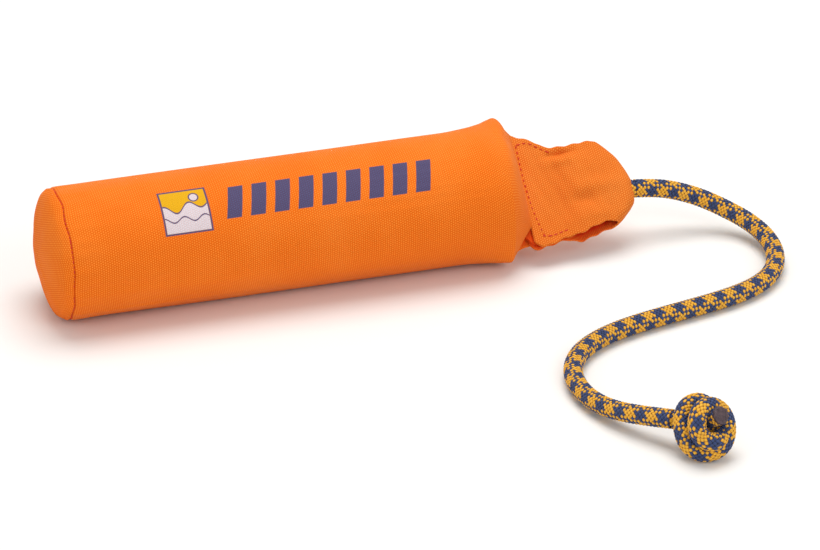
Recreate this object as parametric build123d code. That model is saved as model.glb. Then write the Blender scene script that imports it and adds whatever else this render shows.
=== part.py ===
from build123d import *
import math
import os

# Training bumper: a foam cylinder in a sewn woven cover, lying on its side.
# Frame: origin under the middle of the body on the surface it lies on, +Z up,
# +X along the body from the domed end cap to the tab, millimetres.

# Body
body_axis_z = 32.3            # axis height; the soft body settles into a narrow flat strip at z = 0
cap_seam_x = -142.0           # where the domed end panel is sewn to the body panel
cap_seam_radius = 32.7
cap_dome = 10.8               # how far the end panel bulges beyond its seam
shoulder_x = 60.0             # the round body starts to flatten here
shoulder_radius = 33.4
ear_x = 85.8                  # pinched corners, where the body is widest
ear_half_width = 38.0
ear_half_depth = 28.0
hinge_x = 94.6                # fold line of the cloth between the body and the tab
closed_end_x = hinge_x - 0.4  # both sides of the cover meet here
closed_half_width = 29.0
cloth = 1.2                   # coated woven cloth and its backing
pinch_lean = 43.0             # turn about +X that takes the flat of the closed end from level to its lean

# Foam core
core_radius = 31.0
core_dome = 7.6
core_lift = 0.15              # clearance of the foam above the cloth it settles on
core_shoulder_x = 60.0
core_end_x = 80.0
core_end_radius = 22.0
groove_half = 0.8             # groove that the cap seam presses into the foam
groove_radius = 30.2

# Sewing thread
thread = 0.4
stitch_length = 2.0
stitch_pitch = 2.8
stitch_width = 0.7
stitch_height = 0.35

# Tab, in its own flat frame: u along +X, v across the tab, w through its thickness
tongue_start = hinge_x + 0.7
tongue_end = 113.0
tongue_thickness = 2.4
tongue_outline = [(tongue_start, 25.0), (103.0, 23.6), (tongue_end, 17.6), (tongue_end, -27.0), (tongue_start, -27.0)]
tab_start = hinge_x + 1.6
tab_wall = 1.6                # doubled cloth
tab_sewn_half = 2.9           # half the thickness where the tab is sewn over the tongue
tab_sewn_end = 115.0
tab_full_u = 123.0
tab_full_half = 6.8
tab_crease_centre = 146.0
tab_outline = [
    (tab_start, 26.0), (104.0, 24.5), (110.5, 20.5), (118.0, 19.0), (141.0, 19.0), (150.0, 9.0),
    (153.0, 0.0), (153.0, -16.5), (145.5, -24.0), (133.0, -28.0), (116.0, -29.5), (tab_start, -31.5),
]
tab_corner = 8.0
seam_row_u = 97.3
seam_row_v = (-26.5, 22.0)
upper_row = [(99.6, 23.4), (104.0, 22.2), (112.6, 17.0)]
lower_row = [(99.6, -26.8), (112.6, -26.6)]

# Rope
rope_radius = 4.8
rope_v = -8.0                 # where it leaves the crease, across the tab
tail_round_u = 128.0          # the inner tail is round outside this, pressed flat inside it
tail_flat_u = tongue_end + 1.4
tail_flat_half = (1.1, 6.0)   # half thickness and half width of the pressed end
rope_hole = 5.1
rope_route = [
    (153.6, -5.9, 26.9), (165.0, -6.0, 25.8), (177.0, -6.6, 22.5), (188.9, -8.9, 18.0),
    (199.9, -15.0, 13.1), (209.0, -25.8, 9.5), (213.3, -40.6, 7.1), (211.7, -56.4, 5.7),
    (205.0, -70.8, 5.1), (194.0, -81.8, 5.0), (180.4, -88.8, 5.0), (166.0, -93.2, 5.0),
    (151.0, -96.6, 5.0), (136.0, -99.8, 5.0), (121.0, -103.4, 5.0), (106.4, -108.2, 5.0),
    (92.8, -115.4, 5.0), (81.8, -125.4, 5.0), (74.8, -138.4, 5.0), (72.2, -153.2, 5.0),
    (73.6, -168.8, 5.4), (78.6, -184.2, 7.4), (88.0, -199.0, 10.6), (99.0, -211.4, 13.6),
]

# Stopper knot at the rope's free end
knot_length = 29.0
knot_core_radius = 10.6
wrap_major = 10.4
wrap_minor = 5.1
wrap_places = [(9.0, 9.0), (19.5, -7.0)]    # distance from the back of the knot, tilt in degrees
tip_length = 2.5

# Printed panel: a waves badge and a row of slanted bars, ink films on the cloth
ink = 0.1
ink_lift = 0.02
badge_x = -83.3
badge_side = 24.0
badge_angle = 50.5            # degrees up from level, on the side that faces -Y
bars_start_x = -62.0
bar_count = 9
bar_pitch = 12.0
bar_width = 7.5
bar_height = 17.0
bar_slant = 4.0
bars_angle = 52.5

settle_size = 1000.0


def along_x(shape):
    return Rot(0, 90, 0) * shape


def section(x, half_width, half_depth):
    """Elliptical section of the body, wide along the lean of the closed end."""
    plane = Plane(origin=(x, 0, body_axis_z), x_dir=(0, 1, 0), z_dir=(1, 0, 0))
    return plane * Rot(0, 0, pinch_lean) * make_face(Ellipse(half_width, half_depth).edges())


def settled(shape, floor_z):
    """The part of a shape above a level floor."""
    above = Pos(0, 0, floor_z + settle_size / 2) * Box(settle_size, settle_size, settle_size)
    return shape & above


def body_volume(inset, end_x, end_half_width, end_half_depth):
    """Solid inside the body panel's surface, moved inwards by inset."""
    stations = [
        (cap_seam_x, cap_seam_radius, cap_seam_radius),
        (shoulder_x, shoulder_radius, shoulder_radius),
        (ear_x, ear_half_width, ear_half_depth),
    ]
    faces = [section(x, width - inset, depth - inset) for x, width, depth in stations]
    faces.append(section(end_x, end_half_width, end_half_depth))
    spans = [loft([near, far], ruled=True) for near, far in zip(faces, faces[1:])]
    return spans[0] + spans[1] + spans[2]


def cover_panel():
    """Tube of cloth, flattened and closed at the tab end."""
    outer = settled(body_volume(0.0, closed_end_x, closed_half_width, cloth), 0.0)
    inner = settled(body_volume(cloth, closed_end_x - cloth, closed_half_width - 2 * cloth, 0.3), cloth)
    return outer - inner


def dome(rise, radius):
    """Half an ellipsoid that bulges towards -X from the cap seam."""
    arc = EllipticalCenterArc((0, 0), rise, radius, start_angle=90, arc_size=90)
    profile = make_face([arc, Line((-rise, 0), (0, 0)), Line((0, 0), (0, radius))])
    return Pos(cap_seam_x, 0, body_axis_z) * revolve(profile, Axis.X)


def end_cap():
    outer = settled(dome(cap_dome, cap_seam_radius), 0.0)
    inner = settled(dome(cap_dome - cloth, cap_seam_radius - cloth), cloth)
    return outer - inner


def foam_core():
    """Closed-cell foam cylinder with a domed end at the cap and a tapered end at the tab."""
    start = cap_seam_x - groove_half
    back = cap_seam_x + groove_half
    arc = EllipticalCenterArc((start, 0), core_dome, core_radius, start_angle=90, arc_size=90)
    outline = Polyline(
        (start, core_radius), (start, groove_radius), (back, groove_radius), (back, core_radius),
        (core_shoulder_x, core_radius), (core_end_x, core_end_radius), (core_end_x, 0), (start - core_dome, 0),
    )
    body = Pos(0, 0, body_axis_z) * revolve(make_face([arc, outline]), Axis.X)
    return settled(body, cloth + core_lift)


def cap_seam_thread():
    """Ring of thread inside the joint between the end panel and the body panel."""
    return Pos(cap_seam_x, 0, body_axis_z) * along_x(Torus(groove_radius + thread, thread / 2))


def side_seam_thread():
    """Thread of the lengthwise seam, low on the far side of the body."""
    length = core_shoulder_x - cap_seam_x - 2
    run = along_x(Cylinder(thread / 2, length))
    middle = cap_seam_x + 1 + length / 2
    return Pos(middle, 0, body_axis_z) * Rot(-125, 0, 0) * Pos(0, 0, core_radius + 0.25) * run


def in_tab(shape):
    """Place a shape drawn in the tab's flat frame."""
    return Pos(0, 0, body_axis_z) * Rot(pinch_lean, 0, 0) * shape


def tab_profile(inset):
    """Side outline of the folded tab, which is sewn flat at one end and round at its crease."""
    low = tab_sewn_half - inset
    high = tab_full_half - inset
    upper = FilletPolyline(
        (tab_start, low), (tab_sewn_end, low), (tab_full_u, high), (tab_crease_centre, high), radius=tab_corner
    )
    crease = CenterArc((tab_crease_centre, 0), high, -90, 180)
    lower = mirror(upper, Plane.XZ)
    return make_face([upper, crease, lower, Line((tab_start, -low), (tab_start, low))])


def across_tab(profile, width):
    """Extrude a side outline across the tab."""
    return extrude(Plane.XZ * profile, width / 2, both=True)


def tab_hole():
    return Pos(tab_crease_centre + tab_full_half, rope_v, 0) * along_x(Cylinder(rope_hole, 2 * tab_full_half + tab_wall))


def handle_tab():
    """One strip of doubled cloth folded at a crease, with its ends sewn over the tongue."""
    width = 80.0
    loop = across_tab(tab_profile(0.0), width) - across_tab(tab_profile(tab_wall), width)
    outline = extrude(make_face(Polyline(*tab_outline, close=True)), 2 * tab_full_half, both=True)
    return in_tab((loop & outline) - tab_hole())


def closing_tongue():
    """Flattened end of the body panel, held between the two sides of the tab."""
    outline = make_face(Polyline(*tongue_outline, close=True))
    return in_tab(extrude(outline, tongue_thickness / 2, both=True))


def stitch_row(points):
    """Stitches along a line of points, on both faces of the sewn tab."""
    stitches = []
    for (u0, v0), (u1, v1) in zip(points, points[1:]):
        run = math.hypot(u1 - u0, v1 - v0)
        count = max(1, round(run / stitch_pitch))
        turn = math.degrees(math.atan2(v1 - v0, u1 - u0))
        for index in range(count):
            share = (index + 0.5) / count
            u = u0 + (u1 - u0) * share
            v = v0 + (v1 - v0) * share
            for side in (-1, 1):
                w = side * (tab_sewn_half + stitch_height / 2)
                stitch = Rot(0, 0, turn) * Box(stitch_length, stitch_width, stitch_height)
                stitches.append(in_tab(Pos(u, v, w) * stitch))
    return Compound(children=stitches)


def rope_tail():
    """End of the rope inside the tab, round at the crease and pressed flat where it is sewn."""
    round_length = tab_crease_centre + tab_full_half - tail_round_u
    round_part = Pos(tail_round_u + round_length / 2, rope_v, 0) * along_x(Cylinder(rope_radius, round_length))
    flat_plane = Plane(origin=(tail_flat_u, rope_v, 0), x_dir=(0, 1, 0), z_dir=(1, 0, 0))
    round_plane = Plane(origin=(tail_round_u, rope_v, 0), x_dir=(0, 1, 0), z_dir=(1, 0, 0))
    half_thickness, half_width = tail_flat_half
    flat_face = flat_plane * make_face(Ellipse(half_width, half_thickness).edges())
    round_face = round_plane * make_face(Ellipse(rope_radius, rope_radius).edges())
    return in_tab(round_part + loft([flat_face, round_face], ruled=True))


def tail_tack():
    """Threads that join the pressed end of the rope to the tongue."""
    length = tail_flat_u - tongue_end
    threads = []
    for index in range(-2, 3):
        place = Pos(tongue_end + length / 2, rope_v + 2 * index, 0)
        threads.append(in_tab(place * along_x(Cylinder(thread, length))))
    return Compound(children=threads)


def route_radii(points):
    """Largest even arc that each pair of neighbouring runs allows."""
    radii = []
    for before, corner, after in zip(points, points[1:], points[2:]):
        first = Vector(*corner) - Vector(*before)
        second = Vector(*after) - Vector(*corner)
        half_turn = math.radians(first.get_angle(second)) / 2
        radii.append(0.45 * min(first.length, second.length) / math.tan(half_turn))
    return radii


def rope():
    radii = route_radii(rope_route)
    path = FilletPolyline(*rope_route, radius=radii)
    start = Plane(origin=rope_route[0], z_dir=path % 0)
    tube = sweep(start * Circle(rope_radius), path=path)
    expected = math.pi * rope_radius ** 2 * path.length
    print("rope radii", [round(radius) for radius in radii])
    print("rope length", round(path.length, 1), "volume share", round(tube.volume / expected, 4))
    return tube


def knot_frame():
    """Plane at the rope's last point, looking along its last run."""
    last = Vector(*rope_route[-1])
    along = (last - Vector(*rope_route[-2])).normalized()
    return Plane(origin=last, z_dir=along)


def rope_knot():
    """Stopper knot: a core with two wraps of rope round it."""
    knot = Pos(0, 0, knot_length / 2) * Cylinder(knot_core_radius, knot_length)
    for place, tilt in wrap_places:
        knot += Pos(0, 0, place) * Rot(tilt, 0, 0) * Torus(wrap_major, wrap_minor)
    return settled(knot_frame() * knot, 0.0)


def rope_tip():
    """Melted end of the rope, on the front of the knot."""
    return knot_frame() * Pos(0, 0, knot_length + tip_length / 2) * Cylinder(rope_radius, tip_length)


def ink_shell():
    """Thin layer that follows the outside of the body panel."""
    near = body_volume(-ink_lift, closed_end_x, closed_half_width, cloth)
    far = body_volume(-ink_lift - ink, closed_end_x, closed_half_width, cloth)
    return far - near


def facing(angle, sketch):
    """Prism of a flat sketch that cuts the body's side, aimed at an angle up from level."""
    normal = Vector(0, -math.cos(math.radians(angle)), math.sin(math.radians(angle)))
    plane = Plane(origin=Vector(0, 0, body_axis_z) + normal * core_radius / 2, x_dir=(1, 0, 0), z_dir=normal)
    return extrude(plane * sketch, core_radius)


def printed_badge(shell):
    return shell & facing(badge_angle, Pos(badge_x, 0) * Rectangle(badge_side, badge_side))


def printed_bars(shell):
    """Row of slanted bars, each its own film of ink."""
    bars = []
    for index in range(bar_count):
        x = bars_start_x + index * bar_pitch
        half = bar_height / 2
        corners = [
            (x - bar_slant / 2, -half), (x - bar_slant / 2 + bar_width, -half),
            (x + bar_slant / 2 + bar_width, half), (x + bar_slant / 2, half),
        ]
        bars.append(shell & facing(bars_angle, make_face(Polyline(*corners, close=True))))
    return Compound(children=[solid for bar in bars for solid in bar.solids()])


def write_parts():
    os.makedirs("parts", exist_ok=True)
    shell = ink_shell()
    nodes = {
        "foam_core": foam_core(),
        "cover_panel": cover_panel(),
        "end_cap": end_cap(),
        "cap_seam_thread": cap_seam_thread(),
        "side_seam_thread": side_seam_thread(),
        "printed_badge": printed_badge(shell),
        "printed_bars": printed_bars(shell),
        "closing_tongue": closing_tongue(),
        "handle_tab": handle_tab(),
        "seam_row_stitches": stitch_row([(seam_row_u, seam_row_v[0]), (seam_row_u, seam_row_v[1])]),
        "upper_edge_stitches": stitch_row(upper_row),
        "lower_edge_stitches": stitch_row(lower_row),
        "rope_tail": rope_tail(),
        "tail_tack": tail_tack(),
        "rope": rope(),
        "rope_knot": rope_knot(),
        "rope_tip": rope_tip(),
    }
    for name, shape in nodes.items():
        export_step(shape, f"parts/{name}.step")
        box = shape.bounding_box()
        print(name, len(shape.solids()), round(shape.volume), box.min, box.max)


write_parts()
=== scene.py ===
import math

import bpy
import numpy as np
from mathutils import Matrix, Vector


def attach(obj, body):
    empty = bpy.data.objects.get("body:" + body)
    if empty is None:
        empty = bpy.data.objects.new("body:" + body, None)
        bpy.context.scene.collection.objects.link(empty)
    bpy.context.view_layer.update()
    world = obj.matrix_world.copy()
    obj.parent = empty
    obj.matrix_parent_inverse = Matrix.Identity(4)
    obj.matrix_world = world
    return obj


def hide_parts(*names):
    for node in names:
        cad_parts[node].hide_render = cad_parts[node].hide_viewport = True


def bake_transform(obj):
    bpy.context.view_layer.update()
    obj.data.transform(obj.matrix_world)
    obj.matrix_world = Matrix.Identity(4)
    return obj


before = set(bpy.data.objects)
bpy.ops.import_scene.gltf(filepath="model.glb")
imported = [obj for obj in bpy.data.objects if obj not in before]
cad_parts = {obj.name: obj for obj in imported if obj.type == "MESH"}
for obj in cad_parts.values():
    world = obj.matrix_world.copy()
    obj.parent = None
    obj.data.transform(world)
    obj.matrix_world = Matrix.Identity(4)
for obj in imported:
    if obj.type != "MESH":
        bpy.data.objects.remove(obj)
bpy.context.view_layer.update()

# Training bumper: foam cylinder in a sewn cover, folded tab, braided rope with a stopper knot.
# All lengths in metres, same frame as the model: +X runs from the cap to the tab, +Z up.

mm = 0.001


def linear(red, green, blue):
    # screen colour, 0 to 255, to the linear colour that a shader takes
    parts = [part / 255 for part in (red, green, blue)]
    return tuple(p / 12.92 if p < 0.04045 else ((p + 0.055) / 1.055) ** 2.4 for p in parts) + (1.0,)


class Wire:
    # one output of a node; arithmetic on it adds Math nodes
    def __init__(self, tree, socket=None):
        self.tree = tree
        self.socket = socket

    def add(self, kind, settings=(), links=(), output=0):
        # any node: its settings first, then the values or links of its sockets
        node = self.tree.nodes.new(kind)
        for name, value in dict(settings).items():
            setattr(node, name, value)
        for name, value in dict(links).items():
            if isinstance(value, Wire):
                self.tree.links.new(value.socket, node.inputs[name])
            else:
                node.inputs[name].default_value = value
        return Wire(self.tree, node.outputs[output] if len(node.outputs) else None)

    def out(self, name):
        return Wire(self.tree, self.socket.node.outputs[name])

    def calc(self, operation, *values, clamp=False):
        return self.add("ShaderNodeMath", {"operation": operation, "use_clamp": clamp}, enumerate(values))

    def __add__(self, other): return self.calc("ADD", self, other)
    def __radd__(self, other): return self.calc("ADD", other, self)
    def __sub__(self, other): return self.calc("SUBTRACT", self, other)
    def __rsub__(self, other): return self.calc("SUBTRACT", other, self)
    def __mul__(self, other): return self.calc("MULTIPLY", self, other)
    def __rmul__(self, other): return self.calc("MULTIPLY", other, self)
    def __truediv__(self, other): return self.calc("DIVIDE", self, other)
    def __abs__(self): return self.calc("ABSOLUTE", self)

    def cos(self): return self.calc("COSINE", self)
    def sin(self): return self.calc("SINE", self)
    def floor(self): return self.calc("FLOOR", self)
    def wrap(self, period): return self.calc("FLOORED_MODULO", self, period)
    def clip(self): return self.add("ShaderNodeClamp", {}, {"Value": self})

    def inside(self, edge, soft):
        # 1 where the value is under the edge, fading over a soft width
        return self.calc("MULTIPLY_ADD", self - edge, -1 / soft, 0.5, clamp=True)

    def parts(self):
        split = self.add("ShaderNodeSeparateXYZ", {}, {"Vector": self})
        return split, split.out("Y"), split.out("Z")

    def vector(self, operation, other):
        return self.add("ShaderNodeVectorMath", {"operation": operation}, {0: self, 1: other})

    def times(self, factor):
        return self.add("ShaderNodeVectorMath", {"operation": "SCALE"}, {"Vector": self, "Scale": factor})

    def attribute(self, name):
        return self.add("ShaderNodeAttribute", {"attribute_name": name}, (), "Fac")

    def random(self, seed):
        return self.add("FunctionNodeRandomValue", {"data_type": "FLOAT"}, {"Seed": seed}, 1)

    def store(self, name, value):
        # keeps a value of each point for the material
        settings = {"data_type": "FLOAT", "domain": "POINT"}
        links = {"Geometry": self, "Name": name, "Value": value}
        return self.add("GeometryNodeStoreNamedAttribute", settings, links)

    def noise(self, scale, detail=2.0, roughness=0.5):
        links = {"Vector": self, "Scale": scale, "Detail": detail, "Roughness": roughness}
        return self.add("ShaderNodeTexNoise", {"noise_dimensions": "3D"}, links)


def mixed(start, first, second, factor):
    # a colour between two, each a colour or a wire
    settings = {"data_type": "RGBA", "clamp_factor": True}
    return start.add("ShaderNodeMix", settings, {0: factor, 6: first, 7: second}, 2)


def newMaterial(name):
    material = bpy.data.materials.new(name)
    material.use_nodes = True
    material.node_tree.nodes.clear()
    return material, Wire(material.node_tree)


def finishMaterial(start, links, height=None, depth=0.0001):
    # Principled shader with an optional bump of a given depth in metres
    links = dict(links)
    if height is not None:
        bump = {"Strength": 1.0, "Distance": depth, "Height": height}
        links["Normal"] = start.add("ShaderNodeBump", {}, bump)
    shader = start.add("ShaderNodeBsdfPrincipled", {}, links, "BSDF")
    start.add("ShaderNodeOutputMaterial", {}, {"Surface": shader})


cameraLook = dict(
    place=(-0.5435, -1.8596, 1.0153),
    target=(0.0371, 0.0, -0.0072),
    lens=192.12, sensor=36, nearest=0.1,
)


def putAt(name, data, place, target):
    # a camera or a lamp that looks from a place at a target
    thing = bpy.data.objects.new(name, data)
    bpy.context.scene.collection.objects.link(thing)
    thing.location = place
    thing.rotation_mode = "QUATERNION"
    thing.rotation_quaternion = (Vector(target) - Vector(place)).to_track_quat("-Z", "Y")
    return thing


def makeCamera(look):
    data = bpy.data.cameras.new("camera")
    data.lens = look["lens"]
    data.sensor_width = look["sensor"]
    data.clip_start = look["nearest"]
    bpy.context.scene.camera = putAt("camera", data, look["place"], look["target"])


studio = dict(
    sky=(1.0, 0.985, 0.96, 1.0), skyStrength=0.52,
    floorColour=linear(243, 243, 242), floorSpots=linear(238, 238, 238), floorRough=0.65, floorReach=12.0,
    lampTarget=(0.02, -0.05, 0.0), lampShine=0.4,
    # name, place, size, watts, colour
    lamps=[
        ("overheadSoftbox", (0.15, 0.25, 1.5), 1.3, 17.5, (1.0, 0.985, 0.96)),
        ("frontSoftbox", (0.55, -1.5, 1.1), 1.0, 7.5, (1.0, 0.99, 0.975)),
        ("leftFill", (-1.3, -0.5, 0.6), 0.8, 2.6, (1.0, 0.965, 0.9)),
    ],
)


def makeStudio(look):
    scene = bpy.context.scene
    scene.view_settings.view_transform = "Standard"
    world = bpy.data.worlds.new("studio")
    world.use_nodes = True
    background = world.node_tree.nodes["Background"]
    background.inputs["Color"].default_value = look["sky"]
    background.inputs["Strength"].default_value = look["skyStrength"]
    scene.world = world
    for name, place, size, watts, colour in look["lamps"]:
        data = bpy.data.lights.new(name, "AREA")
        data.shape = "DISK"
        data.size = size
        data.energy = watts
        data.color = colour
        data.specular_factor = look["lampShine"]
        putAt(name, data, place, look["lampTarget"])
    reach = look["floorReach"]
    corners = [(-reach, -reach, 0), (reach, -reach, 0), (reach, reach, 0), (-reach, reach, 0)]
    mesh = bpy.data.meshes.new("floor")
    mesh.from_pydata(corners, [], [(0, 1, 2, 3)])
    floor = bpy.data.objects.new("floor", mesh)
    scene.collection.objects.link(floor)
    material, start = newMaterial("paleFloor")
    spots = start.add("ShaderNodeTexCoord", output="Object").noise(3.0)
    paint = mixed(start, look["floorColour"], look["floorSpots"], spots)
    finishMaterial(start, {"Base Color": paint, "Roughness": look["floorRough"], "Specular IOR Level": 0.2})
    mesh.materials.append(material)


makeCamera(cameraLook)
makeStudio(studio)
print("stage: camera and studio made")


def addPiece(name, points, faces, uv=None, material=None):
    # points in metres; uv is one pair for each face corner, in millimetres of cloth
    mesh = bpy.data.meshes.new(name)
    mesh.from_pydata([tuple(p) for p in np.asarray(points, float)], [], [tuple(f) for f in faces])
    mesh.update()
    mesh.shade_smooth()
    if uv is not None:
        layer = mesh.uv_layers.new(name="clothUv")
        layer.data.foreach_set("uv", np.asarray(uv, np.float32).ravel())
    piece = bpy.data.objects.new(name, mesh)
    bpy.context.scene.collection.objects.link(piece)
    if material is not None:
        mesh.materials.append(material)
    return piece


def evaluatedMesh(source, name):
    # the shown result of a piece's modifiers as a plain mesh
    graph = bpy.context.evaluated_depsgraph_get()
    shown = source.evaluated_get(graph)
    mesh = bpy.data.meshes.new_from_object(shown, preserve_all_data_layers=True, depsgraph=graph)
    mesh.name = name
    return mesh


def applyModifiers(piece):
    mesh = evaluatedMesh(piece, piece.data.name)
    old = piece.data
    piece.modifiers.clear()
    piece.data = mesh
    bpy.data.meshes.remove(old)
    return piece


def subdivided(piece):
    finer = piece.modifiers.new("finer", "SUBSURF")
    finer.levels = finer.render_levels = 1
    return applyModifiers(piece)


def shadeFolds(piece, amounts):
    # how far each point lies in the shade of a fold, 0 to 1
    layer = piece.data.attributes.new("foldShade", "FLOAT", "POINT")
    layer.data.foreach_set("value", np.asarray(amounts, np.float32).ravel())


def routeLine(name, points, kind="NURBS"):
    # a line along a route, its points in millimetres; POLY keeps the corners that NURBS rounds off
    curve = bpy.data.curves.new(name, "CURVE")
    curve.dimensions = "3D"
    spline = curve.splines.new(kind)
    spline.points.add(len(points) - 1)
    for point, place in zip(spline.points, points):
        point.co = (*[c * mm for c in place], 1.0)
    if kind == "NURBS":
        spline.order_u = 3
        spline.use_endpoint_u = True
        spline.resolution_u = 16
    line = bpy.data.objects.new(name, curve)
    bpy.context.scene.collection.objects.link(line)
    return line


def linePoints(line):
    mesh = bpy.data.meshes.new_from_object(line)
    points = [tuple(v.co) for v in mesh.vertices]
    bpy.data.meshes.remove(mesh)
    return points


def newTree(name, inputs):
    # a Geometry Nodes tree with a geometry in and out and named number inputs
    tree = bpy.data.node_groups.new(name, "GeometryNodeTree")
    tree.interface.new_socket("Geometry", in_out="INPUT", socket_type="NodeSocketGeometry")
    for label, kind, value in inputs:
        socket = tree.interface.new_socket(label, in_out="INPUT", socket_type=kind)
        if value is not None:
            socket.default_value = value
    tree.interface.new_socket("Geometry", in_out="OUTPUT", socket_type="NodeSocketGeometry")
    start = Wire(tree).add("NodeGroupInput")
    return tree, start


def finishTree(start, geometry):
    solid = start.add("GeometryNodeRealizeInstances", {}, {"Geometry": geometry})
    smoothed = start.add("GeometryNodeSetShadeSmooth", {}, {"Geometry": solid, "Shade Smooth": True})
    links = {"Geometry": smoothed, "Material": start.out("Material")}
    coloured = start.add("GeometryNodeSetMaterial", {}, links)
    start.add("NodeGroupOutput", {}, {"Geometry": coloured})


def runTree(name, source, tree, values):
    # lets the tree work on the source line and keeps the result as a mesh piece
    modifier = source.modifiers.new("build", "NODES")
    modifier.node_group = tree
    ids = {item.name: item.identifier for item in tree.interface.items_tree if item.in_out == "INPUT"}
    for label, value in values.items():
        modifier[ids[label]] = value
    bpy.context.view_layer.update()
    mesh = evaluatedMesh(source, name)
    source.modifiers.remove(modifier)
    piece = bpy.data.objects.new(name, mesh)
    bpy.context.scene.collection.objects.link(piece)
    return piece


braidPlan = dict(
    radius=4.72 * mm,
    row=0.99 * mm,            # lengthwise step between crossings
    around=24,                # half steps round the rope, 12 carriers each way
    group=3,                  # neighbouring carriers of one colour
    crown=0.30 * mm,          # how far a strand's back stands above its sides
    dive=0.42 * mm,           # how far its ends go under the next strand
    seed=11,
)


def joinUp(start, parts):
    joined = start.add("GeometryNodeJoinGeometry")
    for part in reversed(parts):
        start.tree.links.new(part.socket, joined.socket.node.inputs[0])
    return joined


def makeBraidTree():
    tree, start = newTree("braidTree", [
        ("Rope radius", "NodeSocketFloat", 0.0047),
        ("Row length", "NodeSocketFloat", 0.00076),
        ("Crown", "NodeSocketFloat", 0.0003),
        ("Dive", "NodeSocketFloat", 0.0004),
        ("Seed", "NodeSocketInt", 0),
        ("Material", "NodeSocketMaterial", None),
    ])
    plan = braidPlan
    line = start.out("Geometry")
    radius = start.out("Rope radius")
    row = start.out("Row length")
    ring = plan["around"] // 2
    length = start.add("GeometryNodeCurveLength", {}, {"Curve": line})
    rows = (length / row).floor()
    index = start.add("GeometryNodeInputIndex")
    step = ((index + 0.5) / ring).floor()
    odd = step.wrap(2)
    turn = (index - step * ring) * 2 + odd
    across = radius * (2 * math.pi / plan["around"])
    place = start.add("ShaderNodeCombineXYZ", {}, {"X": (step + 0.5) * row, "Y": turn * across})
    points = start.add("GeometryNodePoints", {}, {"Count": rows * ring, "Position": place})
    carrier = ((step + turn * (1 - odd * 2)) / 2 + 0.001).floor()
    gold = 1 - (carrier / plan["group"] + 0.001).floor().wrap(2)
    tone = start.random(start.out("Seed"))
    points = points.store("gold", gold).store("tone", tone)
    layers = []
    for side in (1, -1):
        links = {"Size X": 2.0, "Size Y": 2.0, "Vertices X": 5, "Vertices Y": 4}
        grid = start.add("GeometryNodeMeshGrid", {}, links)
        # one flat face below closes each strand's pad
        rim = start.add("GeometryNodeInputMeshEdgeNeighbors")
        rim = start.add("FunctionNodeCompare", {"data_type": "INT", "operation": "EQUAL"}, {2: rim, 3: 1})
        under = start.add("GeometryNodeMeshToCurve", {}, {"Mesh": grid, "Selection": rim})
        under = start.add("GeometryNodeFillCurve", {"mode": "NGONS"}, {"Curve": under})
        under = start.add("GeometryNodeFlipFaces", {}, {"Mesh": under})
        grid = joinUp(start, (grid, under))
        grid = start.add("GeometryNodeMergeByDistance", {}, {"Geometry": grid, "Distance": 0.01})
        spotX, spotY = start.add("GeometryNodeInputPosition").parts()[:2]
        grid = grid.store("along", spotX).store("across", spotY)
        run = spotX * 0.64
        wide = spotY * 0.5
        arch = start.calc("SQRT", 1 - spotY * spotY * 0.92)
        height = arch * start.out("Crown") - spotX * spotX * start.out("Dive")
        shaped = start.add("ShaderNodeCombineXYZ", {}, {
            "X": (run + wide) * row, "Y": (wide - run) * across * side, "Z": height})
        links = {"Geometry": grid, "Position": shaped}
        grid = start.add("GeometryNodeSetPosition", {}, links)
        if side > 0:
            grid = start.add("GeometryNodeFlipFaces", {}, {"Mesh": grid})
        pick = odd if side < 0 else 1 - odd
        links = {"Points": points, "Instance": grid, "Selection": pick}
        layers.append(start.add("GeometryNodeInstanceOnPoints", {}, links))
    flat = start.add("GeometryNodeRealizeInstances", {}, {"Geometry": joinUp(start, layers)})
    spotX, spotY, spotZ = start.add("GeometryNodeInputPosition").parts()
    sample = start.add("GeometryNodeSampleCurve", {"mode": "LENGTH", "use_all_curves": True},
                       {"Curves": line, "Length": spotX}, "Position")
    tangent = sample.out("Tangent")
    normal = sample.out("Normal")
    side = tangent.vector("CROSS_PRODUCT", normal)
    angle = spotY / radius
    outward = normal.times(angle.cos()).vector("ADD", side.times(angle.sin()))
    wrapped = sample.vector("ADD", outward.times(radius + spotZ - start.out("Crown")))
    skin = start.add("GeometryNodeSetPosition", {}, {"Geometry": flat, "Position": wrapped})
    # a plain core inside closes the gaps between the strands
    circle = start.add("GeometryNodeCurvePrimitiveCircle", {"mode": "RADIUS"},
                       {"Resolution": 16, "Radius": radius - start.out("Dive") * 1.35})
    links = {"Curve": line, "Profile Curve": circle, "Fill Caps": True}
    core = start.add("GeometryNodeCurveToMesh", {}, links)
    whole = joinUp(start, (skin, core))
    finishTree(start, whole)
    return tree


braidColours = dict(
    gold=linear(236, 170, 22), goldShade=linear(196, 116, 8), goldLight=linear(250, 196, 70),
    navy=linear(34, 50, 98), navyShade=linear(16, 24, 58), navyLight=linear(62, 84, 134),
    dust=linear(120, 100, 80),
    fuzzScale=2600.0, dustScale=140.0, rough=0.58, shine=0.35, sheen=0.12, sheenRough=0.5, bump=0.00006,
)


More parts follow.
